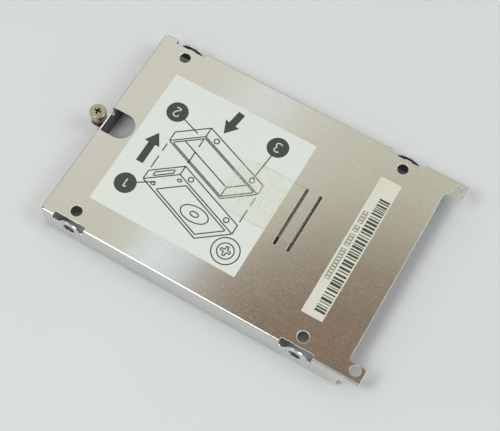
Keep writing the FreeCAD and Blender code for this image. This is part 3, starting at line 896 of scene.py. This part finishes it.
# Captive screw
screwSettings = {
    "edgeRoll": 0.10, "edgeSteps": 2, "sharpAngle": 30.0, "smoothAngle": 40.0,
    # the dark brown is painted shade in the cross recess
    "nickel": "#CDC5AE", "nickelDark": "#B4AB93", "recessShade": "#5E5745", "patch": 0.72,
    "roughness": 0.2, "wear": (-0.06, 0.10),  # wear is added to the roughness
    "turning": 0.754, "turningWaver": 0.6,  # mm from ring to ring; real ones are about 0.1, too fine to show
    "turningRelief": 0.01, "turningStrength": 0.15,
    "recessReach": 1.5, "recessDepth": 1.6, "recessRim": 0.03,  # mm
    "threadRadius": 1.25, "pitch": 0.45, "threadDepth": 0.27, "sides": 48, "rowsPerPitch": 8,
    "fadeIn": 1.2, "fadeOut": 0.8, "crestFlat": 1.15,  # turns of the thread's start and end, flatness of crests
    "neckGap": 0.05, "overlap": 0.02,  # mm from the ring to the thread, and of thread inside the neck
}


def nickelPlate(s):
    # Nickel-plated steel, turned then plated: bright, slightly yellow, with faint turning rings, and the cross
    # recess painted dark as shade
    material, tree = newMaterial("nickelPlate")
    where = addNode(tree, "ShaderNodeTexCoord")
    patches = addNode(tree, "ShaderNodeTexNoise", {"Vector": (where, "Object"), "Detail": 4.0,
                                                   "Scale": 1 / (s["patch"] * mm)})
    tone = addNode(tree, "ShaderNodeMix", {"Factor": (patches, "Fac"), "A": linear(s["nickel"]),
                                           "B": linear(s["nickelDark"])}, data_type="RGBA")
    rough = addNode(tree, "ShaderNodeMapRange", {
        "Value": (patches, "Fac"), "To Min": s["roughness"] + s["wear"][0],
        "To Max": s["roughness"] + s["wear"][1]})
    waveUnit = math.tau / 20  # the Wave node's own spacing at a scale of 1
    rings = addNode(tree, "ShaderNodeTexWave", {
        "Vector": (where, "Object"), "Scale": waveUnit / (s["turning"] * mm), "Distortion": s["turningWaver"]},
        wave_type="BANDS", bands_direction="Z")
    bump = addNode(tree, "ShaderNodeBump", {"Height": (rings, "Fac"), "Strength": s["turningStrength"],
                                            "Distance": s["turningRelief"] * mm})
    # the cross recess is painted dark as shade
    recess = addNode(tree, "ShaderNodeAttribute", attribute_name="recess")
    recessShaded = addNode(tree, "ShaderNodeMix", {"Factor": (recess, "Fac"), "A": (tone, "Result"),
                                             "B": linear(s["recessShade"])}, data_type="RGBA")
    skin = addNode(tree, "ShaderNodeBsdfPrincipled", {
        "Base Color": (recessShaded, "Result"), "Metallic": 1.0, "Roughness": (rough, "Result"),
        "Normal": (bump, "Normal")})
    return surfaced(material, skin)


def threadedEnd(s, axis, foot, top):
    # a rod whose radius follows the thread's helix, fading in at the tip and out under the neck
    work = bmesh.new()
    pitch, radius, depth = (s[k] * mm for k in ("pitch", "threadRadius", "threadDepth"))
    rows = max(2, round((top - foot) / pitch * s["rowsPerPitch"]))
    rings = []
    for row in range(rows + 1):
        z = foot + (top - foot) * row / rows
        fade = min(1.0, (z - foot) / (s["fadeIn"] * pitch), (top - z) / (s["fadeOut"] * pitch))
        ring = []
        for i in range(s["sides"]):
            turn = 2 * math.pi * i / s["sides"]
            phase = ((z - foot) / pitch - i / s["sides"]) % 1.0
            crest = 1.0 - abs(2 * phase - 1.0)
            reach = radius - depth + depth * min(1.0, crest * s["crestFlat"]) * max(0.0, fade)
            ring.append(work.verts.new((axis.x + reach * math.cos(turn), axis.y + reach * math.sin(turn), z)))
        rings.append(ring)
    for low, high in zip(rings, rings[1:]):
        for i in range(s["sides"]):
            j = (i + 1) % s["sides"]
            work.faces.new((low[i], low[j], high[j], high[i]))
    work.faces.new(list(reversed(rings[0])))
    work.faces.new(rings[-1])
    return work


def makeScrew(s):
    low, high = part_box("captive_screw")
    axis = (low + high) / 2
    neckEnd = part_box("retaining_ring")[0].z - s["neckGap"] * mm
    seam = neckEnd + s["overlap"] * mm
    head = cadCopy("captive_screw")
    rolledEdges(head, s)
    recessMark = head.faces.layers.float.new("recess")
    for face in head.faces:
        middle = face.calc_center_median()
        depth = (high.z - middle.z) / mm
        inside = (middle - axis).xy.length < s["recessReach"] * mm
        face[recessMark] = 1.0 if inside and s["recessRim"] < depth < s["recessDepth"] else 0.0
    gone = bmesh.ops.bisect_plane(head, geom=head.verts[:] + head.edges[:] + head.faces[:], dist=1e-7,
                                  plane_co=(0, 0, seam), plane_no=(0, 0, -1), clear_outer=True)
    rim = [e for e in gone["geom_cut"] if isinstance(e, bmesh.types.BMEdge)]
    bmesh.ops.holes_fill(head, edges=rim, sides=0)
    thread = meshOf(threadedEnd(s, axis, low.z, seam), "thread")
    head.from_mesh(thread)
    bpy.data.meshes.remove(thread)
    screw = placed("screw_nickel", smoothMesh(head, "screw_nickel", s["smoothAngle"]))
    return dress(screw, nickelPlate(s), "screw_body", "plated_screw", "captive_screw")


makeScrew(screwSettings)

# Spring and retaining ring
springSettings = {
    "wire": 0.3, "turns": 2.25, "footDiameter": 4.0, "topDiameter": 2.9, "endGap": 0.04,
    "steps": 40, "wireSides": 14, "travel": 1.1,  # mm, how far the screw presses it down
    "steel": "#8F8E8A", "steelDark": "#6E6C67", "drawn": 0.4, "roughness": 0.3, "wear": (-0.08, 0.12),
}


def springSteel(s):
    # Spring steel, drawn and oiled: grey, half bright, with fine marks along the wire
    material, tree = newMaterial("springSteel")
    where = addNode(tree, "ShaderNodeTexCoord")
    marks = addNode(tree, "ShaderNodeTexNoise", {"Vector": (where, "Object"), "Scale": 1 / (s["drawn"] * mm),
                                                 "Detail": 5.0})
    tone = addNode(tree, "ShaderNodeMix", {"Factor": (marks, "Fac"), "A": linear(s["steel"]),
                                           "B": linear(s["steelDark"])}, data_type="RGBA")
    rough = addNode(tree, "ShaderNodeMapRange", {
        "Value": (marks, "Fac"), "To Min": s["roughness"] + s["wear"][0],
        "To Max": s["roughness"] + s["wear"][1]})
    skin = addNode(tree, "ShaderNodeBsdfPrincipled", {"Base Color": (tone, "Result"), "Metallic": 1.0,
                                                      "Roughness": (rough, "Result")})
    return surfaced(material, skin)


def coilTree():
    tree, given = newTree("conicalCoil", ("Turns", "Foot Radius", "Top Radius", "Height", "Wire Radius"),
                          ("Steps", "Wire Sides"), "Steel")
    path = addNode(tree, "GeometryNodeCurveSpiral", {
        "Resolution": (given, "Steps"), "Rotations": (given, "Turns"), "Start Radius": (given, "Foot Radius"),
        "End Radius": (given, "Top Radius"), "Height": (given, "Height")})
    wire = addNode(tree, "GeometryNodeCurvePrimitiveCircle", {"Resolution": (given, "Wire Sides"),
                                                             "Radius": (given, "Wire Radius")})
    coil = addNode(tree, "GeometryNodeCurveToMesh", {"Curve": (path, "Curve"), "Profile Curve": (wire, "Curve"),
                                                     "Fill Caps": True})
    smooth = addNode(tree, "GeometryNodeSetShadeSmooth", {"Geometry": (coil, "Mesh")})
    return closeTree(tree, (smooth, "Geometry"), (given, "Steel"))


def makeSpring(s):
    steel = springSteel(s)
    low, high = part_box("screw_spring")
    screwLow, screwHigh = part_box("captive_screw")
    axis = (screwLow + screwHigh) / 2
    radius = s["wire"] / 2 * mm
    spring = grown("coil_spring", startPoints("coil_start"), coilTree(), {
        "Turns": s["turns"], "Foot Radius": s["footDiameter"] / 2 * mm, "Top Radius": s["topDiameter"] / 2 * mm,
        "Height": high.z - low.z - 2 * radius, "Steps": s["steps"], "Wire Radius": radius,
        "Wire Sides": s["wireSides"], "Steel": steel})
    shifted(spring, Vector((axis.x, axis.y, low.z + radius)))
    dress(spring, steel, "tray_body", "spring_steel", "screw_spring")
    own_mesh(spring)
    coat(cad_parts["retaining_ring"], steel)


makeSpring(springSettings)
print("screw, spring and ring ready")
